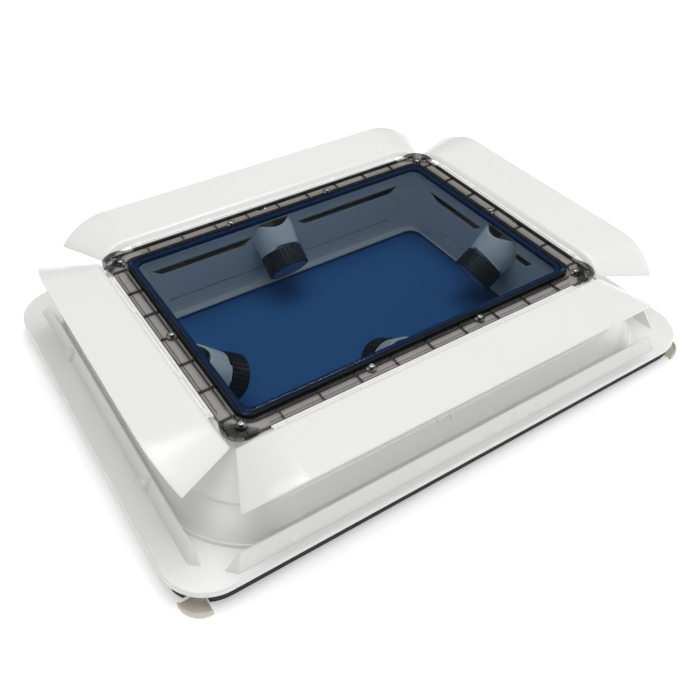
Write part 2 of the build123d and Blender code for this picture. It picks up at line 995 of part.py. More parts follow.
def make_lever(side):
    # Two ears under the flap that hold the cross pin
    reach = side_reach[side]
    eye = lever_point(0, lever_radius)
    under = hinge_axis_z - flap_edge_drop - flap_thickness
    points = [
        (eye[0] - lever_eye_radius, eye[1]),
        (flap_edge_offset + barrel_radius * half_share, under - running_gap),
        (flap_edge_offset + flap_inner_width - flap_bend_radius * half_share, under - running_gap),
        flap_line(flap_bend_radius, flap_thickness + running_gap),
        (eye[0] + lever_eye_radius * half_share, eye[1] - lever_eye_radius),
        (eye[0] - lever_eye_radius * half_share, eye[1] - lever_eye_radius),
    ]
    inner = tongue_thickness * half_share + ear_gap
    ears = None
    for way in (-1, 1):
        middle = knob_offsets[side] + way * (inner + ear_thickness * half_share)
        ear = slab(shifted(points, reach), middle, ear_thickness)
        ears = ear if ears is None else ears + ear
    bridge = slab(
        shifted(
            [
                (points[1][0], points[1][1]),
                points[2],
                (points[2][0], points[2][1] - ear_gap - ear_gap),
                (points[1][0], points[1][1] - ear_gap - ear_gap),
            ],
            reach,
        ),
        knob_offsets[side],
        (inner + ear_thickness) * double_share,
    )
    ears += bridge
    return ears - lever_pin_bar(side, lever_pin_radius)


def lever_pin_bar(side, radius):
    eye = lever_point(0, lever_radius)
    inner = tongue_thickness * half_share + ear_gap
    length = (inner + ear_thickness) * double_share
    bar = Pos(knob_offsets[side], side_reach[side] + eye[0], eye[1]) * Rot(0, quarter_turn, 0)
    return bar * Cylinder(radius, length)


def swing(shape, side, angle):
    axis_y = side_reach[side] - hinge_axis_inset
    return Pos(0, axis_y, hinge_axis_z) * Rot(angle, 0, 0) * Pos(0, -axis_y, -hinge_axis_z) * shape


def rod_slide(side):
    # How far the push rod stands out of its half-way place when the flap is open as shown
    part = open_angles[side] - flap_full_angle * half_share
    return lever_radius * sin(radians(part))


def knob_shift(side):
    # Where the knob's face stands along its axis with the flap open as shown
    return knob_open_reach - rod_travel_rate * radians(flap_full_angle - open_angles[side])


def lever_axis_place():
    # Distance along the tilted axis, and height over it, of the hinge
    out = hinge_half_y - hinge_axis_inset - knob_face_y
    rise = hinge_axis_z - knob_face_z
    return out * tilt_cos + rise * tilt_sin, rise * tilt_cos - out * tilt_sin


def make_rod(side):
    along, above = lever_axis_place()
    pin_place = along + rod_slide(side)
    neck = pin_place - tongue_width
    body = rod_between(rod_radius, knob_shift(side) + cap_thickness + knob_wall, neck)
    lowest = lever_radius * cos(radians(flap_full_angle * half_share)) - above
    highest = lever_radius - above
    middle = (lowest + highest) * half_share
    tongue = box_between(
        -tongue_thickness * half_share,
        tongue_thickness * half_share,
        middle - tongue_width * half_share,
        middle + tongue_width * half_share,
        neck - lever_eye_radius,
        pin_place,
    )
    end = Pos(0, middle, pin_place) * Rot(0, quarter_turn, 0) * Cylinder(
        tongue_width * half_share, tongue_thickness
    )
    body += tongue + end
    half_slot = (highest - lowest) * half_share + pin_slot_gap
    width = (lever_pin_radius + pin_slot_gap) * double_share
    slot = box_between(
        -tongue_thickness,
        tongue_thickness,
        middle - half_slot,
        middle + half_slot,
        pin_place - width * half_share,
        pin_place + width * half_share,
    )
    for way in (-half_slot, half_slot):
        slot += Pos(0, middle + way, pin_place) * Rot(0, quarter_turn, 0) * Cylinder(
            width * half_share, tongue_thickness * double_share
        )
    body -= slot
    groove = knob_shift(side) + knob_length - circlip_thickness - knob_wall
    body -= tube_between(rod_radius + rib_thickness, rod_radius - rib_thickness, groove, groove + circlip_thickness)
    return body


def make_circlip():
    groove = knob_length - circlip_thickness - knob_wall
    ring = tube_between(circlip_radius, rod_radius - rib_thickness, groove, groove + circlip_thickness)
    gap = box_between(
        -rib_thickness,
        rib_thickness,
        0,
        circlip_radius * double_share,
        groove,
        groove + circlip_thickness,
    )
    return ring - gap


def make_knob(side):
    # A cup with a grooved side, a hub on the rod and two nibs that run on the ramps
    body = rod_between(knob_radius, 0, knob_length)
    body = fillet(body.edges().filter_by_position(Axis.Z, 0, 0), knob_wall * half_share)
    body -= rod_between(knob_radius - knob_wall, cap_thickness + knob_wall, knob_length)
    body += rod_between(hub_radius, cap_thickness, knob_length - circlip_thickness - knob_wall)
    body -= rod_between(cap_radius, 0, cap_thickness)
    body -= rod_between(rod_radius + running_gap, cap_thickness + knob_wall, knob_length)
    for step in range(knob_grooves):
        angle = radians(step * full_turn / knob_grooves)
        body -= Pos(knob_radius * cos(angle), knob_radius * sin(angle), knob_length * half_share + knob_wall) * Cylinder(
            knob_groove_radius, knob_length - knob_wall
        )
    sweep = full_turn / (cam_starts * cam_sectors)
    tip = cam_base - cam_step - cam_gap - knob_open_reach
    turned = knob_turn_angle * (flap_full_angle - open_angles[side]) / flap_full_angle
    for start in range(cam_starts):
        angle = start * half_turn + turned
        body += sector(
            cam_outer_radius - running_gap * three_ways,
            cam_inner_radius + running_gap * three_ways,
            angle,
            sweep,
            cap_thickness,
            tip,
        )
    return body


def make_cap():
    body = rod_between(cap_radius - running_gap, 0, cap_thickness)
    return body


def make_index_ring():
    # A stepped ring behind the knob that shows how far it is turned
    body = tube_between(boss_end_radius, index_inner_radius, boss_start - index_step, boss_start)
    sweep = full_turn / (index_starts * index_steps)
    for start in range(index_starts):
        for step in range(index_steps):
            angle = (start * index_steps + step) * sweep
            top = boss_start - index_step * (step + one_piece)
            body += sector(boss_end_radius, index_inner_radius, angle, sweep, max(top, index_peak), boss_start)
    return body


def make_seal(side):
    reach = side_reach[side]
    run = side_straight[side] - notch_seal_gap
    slope = degrees(atan2(shoulder_z - crease_high_z, crease_offset - shoulder_offset))
    lift = (seal_thickness * sin(radians(slope)), seal_thickness * cos(radians(slope)))
    low = (reach + slope_offset(seal_low_z), seal_low_z)
    high = (reach + slope_offset(seal_high_z), seal_high_z)
    points = [low, (low[0] + lift[0], low[1] + lift[1]), (high[0] + lift[0], high[1] + lift[1]), high]
    pieces = []
    clear = gusset_spacing + gusset_thickness
    for start, end in ((-run, knob_offsets[side] - clear), (knob_offsets[side] + clear, run)):
        pieces.append(to_side(slab(points, (start + end) * half_share, end - start), side))
    return pieces


def make_frame():
    wall = plate(frame_half_x, frame_half_y, frame_corner_radius, 0, flange_top_z - flange_thickness)
    wall -= plate(
        frame_half_x - frame_wall,
        frame_half_y - frame_wall,
        frame_corner_radius - frame_wall,
        0,
        flange_top_z - flange_thickness,
    )
    pan = plate(frame_half_x, frame_half_y, frame_corner_radius, liner_bottom_z, pan_top_z)
    pan -= liner_plate(liner_wall, liner_bottom_z, pan_top_z)
    feet = plate(foot_half_x, foot_half_y, foot_corner_radius, 0, foot_height)
    feet -= plate(
        foot_half_x - foot_lip,
        foot_half_y - foot_lip,
        foot_corner_radius - foot_lip,
        foot_shelf_z,
        foot_height,
    )
    feet += plate(
        foot_half_x - foot_wall_inset,
        foot_half_y - foot_wall_inset,
        foot_wall_radius,
        0,
        flange_top_z - flange_thickness,
    )
    feet -= plate(
        frame_half_x - frame_wall,
        frame_half_y - frame_wall,
        frame_corner_radius - frame_wall,
        0,
        flange_top_z - flange_thickness,
    )
    across = foot_half_x - foot_reach
    deep = foot_half_y - foot_reach
    feet -= Box(across * double_share, foot_half_y * double_share, flange_top_z * double_share)
    feet -= Box(foot_half_x * double_share, deep * double_share, flange_top_z * double_share)
    body = wall + pan + feet
    body -= box_between(
        roller_x - cassette_half_width - running_gap,
        rail_start_x,
        -cassette_half_y - running_gap,
        cassette_half_y + running_gap,
        0,
        pan_top_z,
    )
    for x, y in roof_hole_places():
        body -= Pos(x, y, 0) * Cylinder(roof_hole_radius, flange_top_z * double_share)
    for x, y in post_places():
        body -= Pos(x, y, 0) * Cylinder(frame_screw_radius, flange_top_z * double_share)
    return body


def roof_hole_places():
    columns = (-roof_hole_x, -roof_hole_middle_x, roof_hole_middle_x, roof_hole_x)
    return [(x, y) for x in columns for y in (-roof_hole_y, roof_hole_y)]


def make_foam():
    strips = []
    across = foot_half_x - foot_reach - foam_end_gap
    deep = foot_half_y - foot_reach - foam_end_gap
    top = flange_top_z - flange_thickness
    room = plate(
        flange_half_x - rim_thickness - foam_rim_gap,
        flange_half_y - rim_thickness - foam_rim_gap,
        flange_corner_radius - rim_thickness - foam_rim_gap,
        foam_bottom_z,
        top,
    )
    for way in (-1, 1):
        near, far = sorted((way * frame_half_y, way * (frame_half_y + foam_thickness)))
        strips.append(box_between(-across, across, near, far, foam_bottom_z, top) & room)
        near, far = sorted((way * frame_half_x, way * (frame_half_x + foam_thickness)))
        strips.append(box_between(near, far, -deep, deep, foam_bottom_z, top) & room)
    return group(strips)


def make_frame_screws():
    screws = []
    for x, y in post_places():
        head = Pos(x, y, liner_bottom_z - frame_screw_head_height) * Cylinder(
            frame_screw_head_radius,
            frame_screw_head_height,
            align=(Align.CENTER, Align.CENTER, Align.MIN),
        )
        shank = Pos(x, y, liner_bottom_z) * Cylinder(
            frame_screw_radius,
            frame_screw_length - pan_thickness,
            align=(Align.CENTER, Align.CENTER, Align.MIN),
        )
        drive = Pos(x, y, liner_bottom_z - frame_screw_head_height) * Box(
            drive_radius * double_share, drive_depth * half_share, drive_depth
        )
        screws.append(head + shank - drive)
    return group(screws)


def make_liner_screws():
    screws = []
    for x, y in liner_screw_places():
        top = pan_top_z + liner_flange_thickness
        head = Pos(x, y, top) * Cylinder(
            frame_screw_head_radius,
            frame_screw_head_height,
            align=(Align.CENTER, Align.CENTER, Align.MIN),
        )
        shank = Pos(x, y, top - liner_flange_thickness) * Cylinder(
            frame_screw_radius,
            liner_flange_thickness,
            align=(Align.CENTER, Align.CENTER, Align.MIN),
        )
        drive = Pos(x, y, top + frame_screw_head_height) * Box(
            drive_radius * double_share, drive_depth * half_share, drive_depth
        )
        screws.append(head + shank - drive)
    return group(screws)


def make_rails():
    rails = []
    for way in (-1, 1):
        near, far = sorted((way * rail_inner_y, way * rail_outer_y))
        rail = box_between(rail_start_x, rail_end_x, near, far, rail_bottom_z, liner_bottom_z)
        inner, outer = sorted((0, way * (rail_outer_y - rail_wall)))
        rail -= box_between(
            rail_start_x,
            rail_end_x,
            inner,
            outer,
            rail_bottom_z + rail_wall,
            liner_bottom_z - rail_wall,
        )
        rails.append(rail)
    return group(rails)


def make_cloth():
    return box_between(
        cloth_start_x,
        cloth_end_x,
        -cloth_half_y,
        cloth_half_y,
        cloth_z,
        cloth_z + cloth_thickness,
    )


def make_pull_bar():
    middle = cloth_z + cloth_thickness * half_share
    bar = box_between(
        cloth_end_x,
        cloth_end_x + bar_width,
        -bar_half_y,
        bar_half_y,
        middle - bar_height * half_share,
        middle + bar_height * half_share,
    )
    tab = box_between(
        cloth_end_x,
        cloth_end_x + bar_tab_reach,
        -bar_tab_width * half_share,
        bar_tab_width * half_share,
        middle - bar_height * half_share - bar_tab_drop,
        middle,
    )
    return bar + tab


def along_y(radius, half_length, x, z):
    return Pos(x, 0, z) * Rot(quarter_turn, 0, 0) * Cylinder(radius, half_length * double_share)


def make_cassette():
    low_x = roller_x - cassette_half_width
    high_x = roller_x + cassette_half_width
    top = cassette_bottom_z + cassette_half_width * double_share - cassette_wall
    body = box_between(low_x, high_x, -cassette_half_y, cassette_half_y, cassette_bottom_z, top)
    body -= box_between(
        low_x + cassette_wall,
        high_x - cassette_wall,
        -cassette_half_y + cassette_wall,
        cassette_half_y - cassette_wall,
        cassette_bottom_z + cassette_wall,
        top - cassette_wall,
    )
    middle = cloth_z + cloth_thickness * half_share
    body -= box_between(
        roller_x,
        high_x,
        -cassette_half_y + cassette_wall,
        cassette_half_y - cassette_wall,
        middle - cassette_mouth * half_share * half_share,
        middle + cassette_mouth * half_share,
    )
    body -= along_y(roller_axle_radius + running_gap, cassette_half_y, roller_x, roller_z)
    return body


def make_roller():
    body = along_y(roller_radius, roller_half_y, roller_x, roller_z)
    body -= along_y(roller_bore, roller_half_y - roller_cap_length, roller_x, roller_z)
    body += along_y(roller_axle_radius, cassette_half_y, roller_x, roller_z)
    return body


save("roof_base", make_base())
save("well_liner", make_liner())
save("lower_frame", make_frame())
save("foam_strips", make_foam())
save("smoked_rim", make_rim())
save("rim_gasket", make_gasket())
save("smoked_pane", make_pane())
save("cover_screws", make_cover_screws())
save("frame_screws", make_frame_screws())
save("liner_screws", make_liner_screws())
seals = []
for side in side_turns:
    seals += make_seal(side)
    turn = open_angles[side]
    save("flap_" + side, to_side(swing(make_flap(side), side, turn), side))
    save("flap_lever_" + side, to_side(swing(make_lever(side), side, turn), side))
    save("lever_pin_" + side, to_side(swing(lever_pin_bar(side, lever_pin_radius), side, turn), side))
    rod_line = Pos(0, side_reach[side] - hinge_axis_inset, hinge_axis_z) * Rot(0, quarter_turn, 0)
    rod_shape = rod_line * Cylinder(hinge_rod_radius, side_barrel[side] * double_share)
    save("hinge_rod_" + side, to_side(rod_shape, side))
    save("push_rod_" + side, to_side(on_axis(make_rod(side), side), side))
    shift = Pos(0, 0, knob_shift(side))
    save("knob_" + side, to_side(on_axis(shift * make_knob(side), side), side))
    save("knob_cap_" + side, to_side(on_axis(shift * make_cap(), side), side))
    save("circlip_" + side, to_side(on_axis(shift * make_circlip(), side), side))
    save("index_ring_" + side, to_side(on_axis(make_index_ring(), side), side))
save("vent_seals", group(seals))
save("blind_rails", make_rails())
save("blind_cloth", make_cloth())
save("blind_pull_bar", make_pull_bar())
save("blind_cassette", make_cassette())
save("blind_roller", make_roller())
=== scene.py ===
import bpy, bmesh, math
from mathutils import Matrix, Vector


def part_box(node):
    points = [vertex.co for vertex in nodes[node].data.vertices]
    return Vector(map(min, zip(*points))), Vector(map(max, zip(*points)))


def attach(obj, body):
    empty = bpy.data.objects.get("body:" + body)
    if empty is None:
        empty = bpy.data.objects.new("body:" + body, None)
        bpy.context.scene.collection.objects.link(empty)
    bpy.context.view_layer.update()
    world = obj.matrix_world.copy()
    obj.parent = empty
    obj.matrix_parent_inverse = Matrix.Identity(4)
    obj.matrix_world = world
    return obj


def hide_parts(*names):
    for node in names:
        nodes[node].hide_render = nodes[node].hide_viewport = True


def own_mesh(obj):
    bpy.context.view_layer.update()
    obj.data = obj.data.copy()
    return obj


# A white caravan roof vent with a smoked cover and four open flaps
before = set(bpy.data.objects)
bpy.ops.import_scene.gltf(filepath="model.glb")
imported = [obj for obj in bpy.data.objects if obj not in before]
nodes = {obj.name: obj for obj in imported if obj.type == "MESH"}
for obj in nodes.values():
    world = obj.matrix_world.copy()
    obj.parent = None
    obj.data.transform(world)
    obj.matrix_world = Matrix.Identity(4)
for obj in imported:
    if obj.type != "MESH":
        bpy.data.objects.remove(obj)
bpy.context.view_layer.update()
sides = ("back", "left", "front", "right")
print("frame loaded")


def newMaterial(name):
    # An empty material, its output and the place on the piece that wears it
    material = bpy.data.materials.new(name)
    material.use_nodes = True
    tree = material.node_tree
    tree.nodes.clear()
    output = tree.nodes.new("ShaderNodeOutputMaterial")
    coords = tree.nodes.new("ShaderNodeTexCoord")
    return material, tree, output, coords.outputs["Object"]


def addSurface(tree, output):
    shader = tree.nodes.new("ShaderNodeBsdfPrincipled")
    tree.links.new(shader.outputs["BSDF"], output.inputs["Surface"])
    return shader


def addNoise(tree, place, scale, detail=4.0, rough=0.55):
    noise = tree.nodes.new("ShaderNodeTexNoise")
    noise.inputs["Scale"].default_value = scale
    noise.inputs["Detail"].default_value = detail
    noise.inputs["Roughness"].default_value = rough
    tree.links.new(place, noise.inputs["Vector"])
    return noise.outputs["Fac"]


def addRange(tree, source, low, high, fromLow=0.3, fromHigh=0.7):
    # Spreads the span that a noise mostly keeps to over the span from low to high
    span = tree.nodes.new("ShaderNodeMapRange")
    span.inputs["From Min"].default_value = fromLow
    span.inputs["From Max"].default_value = fromHigh
    span.inputs["To Min"].default_value = low
    span.inputs["To Max"].default_value = high
    tree.links.new(source, span.inputs["Value"])
    return span.outputs["Result"]


def addMix(tree, factor, first, second):
    # The first is a colour or a socket, the second is a colour
    mix = tree.nodes.new("ShaderNodeMix")
    mix.data_type = "RGBA"
    mix.inputs["B"].default_value = (*second, 1)
    if isinstance(first, tuple):
        mix.inputs["A"].default_value = (*first, 1)
    else:
        tree.links.new(first, mix.inputs["A"])
    tree.links.new(factor, mix.inputs["Factor"])
    return mix.outputs["Result"]


def addBump(tree, height, distance, strength=1.0, under=None):
    # Fine relief, laid over the relief under it
    bump = tree.nodes.new("ShaderNodeBump")
    bump.inputs["Distance"].default_value = distance
    bump.inputs["Strength"].default_value = strength
    tree.links.new(height, bump.inputs["Height"])
    if under is not None:
        tree.links.new(under, bump.inputs["Normal"])
    return bump.outputs["Normal"]


def work(tree, operation, first, second=0.0):
    # One sum: each of the two values is a socket or a number
    step = tree.nodes.new("ShaderNodeMath")
    step.operation = operation
    for value, socket in zip((first, second), step.inputs):
        if isinstance(value, float):
            socket.default_value = value
        else:
            tree.links.new(value, socket)
    return step.outputs["Value"]


# The marks of the cover, in metres: the hinge lines' half sizes, the corner screws that the fans stand
# round, and the lines' places, which are below zero because they lie inward of the hinge lines.
# Widths are half widths, the middle spoke is so many times wider, and a shade says how dark a mark is
coverLines = {"halfX": 0.3092, "halfY": 0.2207, "screwX": 0.280, "screwY": 0.1912,
              "innerLine": -0.0265, "outerLine": -0.0130, "footEdge": -0.0388, "lineWidth": 0.0007,
              "fanReach": 0.0262, "fanRing": 0.0217, "fanHub": 0.0125, "fanCut": 0.003, "fanClear": 0.034,
              "spoke": 0.0008, "middleSpoke": 1.4, "outerShade": 0.7, "fanShade": 0.6, "hubShade": 0.25}


def foldedPlace(tree, place):
    # The four quarters of the cover laid on one another
    split = tree.nodes.new("ShaderNodeSeparateXYZ")
    tree.links.new(place, split.inputs["Vector"])
    return work(tree, "ABSOLUTE", split.outputs["X"]), work(tree, "ABSOLUTE", split.outputs["Y"])


def distanceOut(tree, x, y):
    # How far a point lies outward of the hinge lines: below zero on the cover
    outX = work(tree, "SUBTRACT", x, coverLines["halfX"])
    outY = work(tree, "SUBTRACT", y, coverLines["halfY"])
    return work(tree, "MAXIMUM", outX, outY)


def onLine(tree, distance, line, width):
    # One on the line and nought beside it
    away = work(tree, "ABSOLUTE", work(tree, "SUBTRACT", distance, line))
    return work(tree, "LESS_THAN", away, width)


def fanMarks(tree, dx, dy, reach):
    # Half a disc on the outer side of each corner screw, with a darker hub, a ring and three spokes
    look = coverLines
    ring = onLine(tree, reach, look["fanRing"], look["spoke"])
    sideSpokes = onLine(tree, work(tree, "MINIMUM", dx, dy), 0.0, look["spoke"])
    middleSpoke = onLine(tree, dx, dy, look["spoke"] * look["middleSpoke"])
    struts = work(tree, "MAXIMUM", ring, work(tree, "MAXIMUM", sideSpokes, middleSpoke))
    hub = work(tree, "MULTIPLY", work(tree, "LESS_THAN", reach, look["fanHub"]), look["hubShade"])
    shade = work(tree, "MAXIMUM", struts, work(tree, "ADD", hub, look["fanShade"]))
    withinReach = work(tree, "LESS_THAN", reach, look["fanReach"])
    outwardHalf = work(tree, "GREATER_THAN", work(tree, "ADD", dx, dy), look["fanCut"])
    return work(tree, "MULTIPLY", work(tree, "MULTIPLY", withinReach, outwardHalf), shade)


def coverMarks(tree, place):
    # How dark each place of the smoked rim is: the fans, and two lengthwise lines that stop short of them
    look = coverLines
    x, y = foldedPlace(tree, place)
    out = distanceOut(tree, x, y)
    inner = onLine(tree, out, look["innerLine"], look["lineWidth"])
    outer = onLine(tree, out, look["outerLine"], look["lineWidth"])
    lines = work(tree, "MAXIMUM", inner, work(tree, "MULTIPLY", outer, look["outerShade"]))
    dx = work(tree, "SUBTRACT", x, look["screwX"])
    dy = work(tree, "SUBTRACT", y, look["screwY"])
    squares = work(tree, "ADD", work(tree, "MULTIPLY", dx, dx), work(tree, "MULTIPLY", dy, dy))
    reach = work(tree, "SQRT", squares)
    clear = work(tree, "SUBTRACT", 1.0, work(tree, "LESS_THAN", reach, look["fanClear"]))
    straight = work(tree, "MULTIPLY", lines, clear)
    return work(tree, "MAXIMUM", fanMarks(tree, dx, dy, reach), straight)


# Each moulded finish: its colour and roughness and how far they drift, its grain and waves, and its dust
finishes = {
    "shellWhite": {"colour": (0.83, 0.83, 0.806), "vary": 0.006, "roughness": 0.24, "roughVary": 0.04,
                   "grainScale": 900.0, "grainHeight": 0.00001, "waveScale": 9.0, "waveHeight": 0.00025,
                   "dust": (0.72, 0.71, 0.68), "dustAmount": 0.015},
    "linerWhite": {"colour": (0.76, 0.765, 0.755), "vary": 0.02, "roughness": 0.42, "roughVary": 0.08,
                   "grainScale": 1400.0, "grainHeight": 0.00003, "waveScale": 10.0, "waveHeight": 0.0002,
                   "dust": (0.62, 0.61, 0.58), "dustAmount": 0.08},
    "frameCream": {"colour": (0.66, 0.625, 0.54), "vary": 0.03, "roughness": 0.42, "roughVary": 0.10,
                   "grainScale": 1100.0, "grainHeight": 0.00005, "waveScale": 12.0, "waveHeight": 0.0003,
                   "dust": (0.45, 0.42, 0.35), "dustAmount": 0.15},
    "knobDark": {"colour": (0.020, 0.022, 0.026), "vary": 0.25, "roughness": 0.40, "roughVary": 0.12,
                 "grainScale": 1500.0, "grainHeight": 0.00006, "waveScale": 20.0, "waveHeight": 0.0001,
                 "dust": (0.09, 0.09, 0.09), "dustAmount": 0.16},
    "capBlueGrey": {"colour": (0.34, 0.42, 0.52), "vary": 0.05, "roughness": 0.38, "roughVary": 0.10,
                    "grainScale": 1300.0, "grainHeight": 0.00004, "waveScale": 16.0, "waveHeight": 0.0001,
                    "dust": (0.24, 0.28, 0.33), "dustAmount": 0.15},
    "rodGrey": {"colour": (0.12, 0.125, 0.13), "vary": 0.10, "roughness": 0.48, "roughVary": 0.10,
                "grainScale": 900.0, "grainHeight": 0.00005, "waveScale": 30.0, "waveHeight": 0.0001,
                "dust": (0.20, 0.20, 0.20), "dustAmount": 0.15},
    "sealPale": {"colour": (0.66, 0.66, 0.63), "vary": 0.04, "roughness": 0.62, "roughVary": 0.10,
                 "grainScale": 700.0, "grainHeight": 0.00005, "waveScale": 22.0, "waveHeight": 0.0002,
                 "dust": (0.50, 0.49, 0.45), "dustAmount": 0.15},
    # The gasket's foot colour is a painted blue sheen, not the rubber's own colour
    "gasketBlack": {"colour": (0.006, 0.010, 0.018), "foot": (0.012, 0.038, 0.105), "gloss": 0.15,
                    "vary": 0.25, "roughness": 0.60, "roughVary": 0.15,
                    "grainScale": 800.0, "grainHeight": 0.00005, "waveScale": 25.0, "waveHeight": 0.0001,
                    "dust": (0.05, 0.055, 0.06), "dustAmount": 0.15},
}
# What the moulded finishes share. The dust's patches are so many times finer than the waves
moulding = {"gloss": 0.5, "waveDetail": 3.0, "waveStrength": 0.5, "grainDetail": 2.0, "grainStrength": 0.6,
            "patchScale": 2.7, "patchDetail": 8.0, "patchRough": 0.7, "patchLow": 0.45, "patchHigh": 0.75}


def mouldedPlastic(name):
    # Fine moulding grain over slow waves, with a little dust settled in patches
    look = finishes[name]
    material, tree, output, place = newMaterial(name)
    shader = addSurface(tree, output)
    shader.inputs["Specular IOR Level"].default_value = look.get("gloss", moulding["gloss"])
    waves = addNoise(tree, place, look["waveScale"], moulding["waveDetail"])
    grain = addNoise(tree, place, look["grainScale"], moulding["grainDetail"])
    patchScale = look["waveScale"] * moulding["patchScale"]
    patches = addNoise(tree, place, patchScale, moulding["patchDetail"], moulding["patchRough"])
    darker = tuple(c * (1 - look["vary"] * 2) for c in look["colour"])
    tone = addMix(tree, addRange(tree, waves, 0.0, 1.0), look["colour"], darker)
    if "foot" in look:
        # The foot under the pane is a paler blue band of painted sheen: the blind's blue painted onto the
        # black rubber
        out = distanceOut(tree, *foldedPlace(tree, place))
        tone = addMix(tree, work(tree, "LESS_THAN", out, coverLines["footEdge"]), tone, look["foot"])
    dusty = addRange(tree, patches, 0.0, look["dustAmount"], moulding["patchLow"], moulding["patchHigh"])
    tree.links.new(addMix(tree, dusty, tone, look["dust"]), shader.inputs["Base Color"])
    smoothest = look["roughness"] - look["roughVary"] / 2
    roughest = look["roughness"] + look["roughVary"]
    tree.links.new(addRange(tree, waves, smoothest, roughest), shader.inputs["Roughness"])
    wavy = addBump(tree, waves, look["waveHeight"], moulding["waveStrength"])
    grainy = addBump(tree, grain, look["grainHeight"], moulding["grainStrength"], wavy)
    tree.links.new(grainy, shader.inputs["Normal"])
    return material


# The two smoked plastics: the film's tint, its deeper tone and its tone on upright faces, and the skin
smoked = {
    "rimSmoke": {"tint": (0.83, 0.82, 0.815), "deep": (0.80, 0.79, 0.785), "upright": (0.36, 0.36, 0.365),
                 "roughness": 0.08, "marked": True},
    "paneSmoke": {"tint": (0.72, 0.765, 0.80), "deep": (0.71, 0.76, 0.795), "upright": (0.45, 0.52, 0.60),
                  "roughness": 0.03, "marked": False},
}
# What they share. The last two say how far a face's normal points up where it is upright, and where flat
smokedSkin = {"colour": (0.86, 0.88, 0.90), "ior": 1.46, "waveScale": 9.0, "waveDetail": 3.0,
              "scuffScale": 60.0, "scuffDetail": 6.0, "scuffRough": 0.65, "scuffAmount": 0.08,
              "uprightBelow": 0.35, "flatAbove": 0.75}


def seeThroughPlastic(name):
    # A tinted film with a mirror-like skin. Upright faces, such as the sides of the ribs, pass less light
    look = smoked[name]
    material, tree, output, place = newMaterial(name)
    facing = tree.nodes.new("ShaderNodeNewGeometry")
    split = tree.nodes.new("ShaderNodeSeparateXYZ")
    tree.links.new(facing.outputs["True Normal"], split.inputs["Vector"])
    rise = work(tree, "ABSOLUTE", split.outputs["Z"])
    shade = addRange(tree, rise, 1.0, 0.0, smokedSkin["uprightBelow"], smokedSkin["flatAbove"])
    if look["marked"]:
        shade = work(tree, "MAXIMUM", shade, coverMarks(tree, place))
    waves = addNoise(tree, place, smokedSkin["waveScale"], smokedSkin["waveDetail"])
    flat = addMix(tree, addRange(tree, waves, 0.0, 1.0), look["tint"], look["deep"])
    film = tree.nodes.new("ShaderNodeBsdfTransparent")
    tree.links.new(addMix(tree, shade, flat, look["upright"]), film.inputs["Color"])
    skin = tree.nodes.new("ShaderNodeBsdfPrincipled")
    skin.inputs["Base Color"].default_value = (*smokedSkin["colour"], 1)
    skin.inputs["Metallic"].default_value = 1.0
    scuffs = addNoise(tree, place, smokedSkin["scuffScale"], smokedSkin["scuffDetail"],
                      smokedSkin["scuffRough"])
    roughest = look["roughness"] + smokedSkin["scuffAmount"]
    tree.links.new(addRange(tree, scuffs, look["roughness"], roughest), skin.inputs["Roughness"])
    gloss = tree.nodes.new("ShaderNodeFresnel")
    gloss.inputs["IOR"].default_value = smokedSkin["ior"]
    # Only the face that the light meets first has a skin: inside the plastic the film alone counts
    outside = work(tree, "SUBTRACT", 1.0, facing.outputs["Backfacing"])
    mix = tree.nodes.new("ShaderNodeMixShader")
    tree.links.new(work(tree, "MULTIPLY", gloss.outputs["Fac"], outside), mix.inputs["Fac"])
    tree.links.new(film.outputs["BSDF"], mix.inputs[1])
    tree.links.new(skin.outputs["BSDF"], mix.inputs[2])
    tree.links.new(mix.outputs["Shader"], output.inputs["Surface"])
    return material


# The foam strips: dark cells with paler walls, and a worn tone in patches
foam = {"colour": (0.004, 0.004, 0.005), "wall": (0.022, 0.022, 0.024), "worn": (0.03, 0.03, 0.032),
        "wornAmount": 0.4, "wearScale": 40.0, "cellScale": 700.0, "cellLow": 0.1, "cellHigh": 0.6,
        "cellHeight": 0.0006, "roughness": 0.9}


def foamRubber(name):
    material, tree, output, place = newMaterial(name)
    shader = addSurface(tree, output)
    cells = tree.nodes.new("ShaderNodeTexVoronoi")
    cells.inputs["Scale"].default_value = foam["cellScale"]
    tree.links.new(place, cells.inputs["Vector"])
    distance = cells.outputs["Distance"]
    walls = addRange(tree, distance, 0.0, 1.0, foam["cellLow"], foam["cellHigh"])
    tone = addMix(tree, walls, foam["colour"], foam["wall"])
    wear = addRange(tree, addNoise(tree, place, foam["wearScale"]), 0.0, foam["wornAmount"])
    tree.links.new(addMix(tree, wear, tone, foam["worn"]), shader.inputs["Base Color"])
    shader.inputs["Roughness"].default_value = foam["roughness"]
    tree.links.new(addBump(tree, distance, foam["cellHeight"]), shader.inputs["Normal"])
    return material


# The metals: the stretch draws the fine lines out along the piece
metals = {
    "screwSteel": {"colour": (0.80, 0.81, 0.82), "roughness": 0.18, "stretch": (1.0, 1.0, 0.2)},
    "pinSteel": {"colour": (0.55, 0.56, 0.57), "roughness": 0.25, "stretch": (1.0, 1.0, 0.1)},
    "barAluminium": {"colour": (0.75, 0.76, 0.77), "roughness": 0.28, "stretch": (1.0, 0.04, 1.0)},
}
brushing = {"scale": 400.0, "detail": 3.0, "rough": 0.5, "shade": 0.82, "roughVary": 0.14, "height": 0.00004}


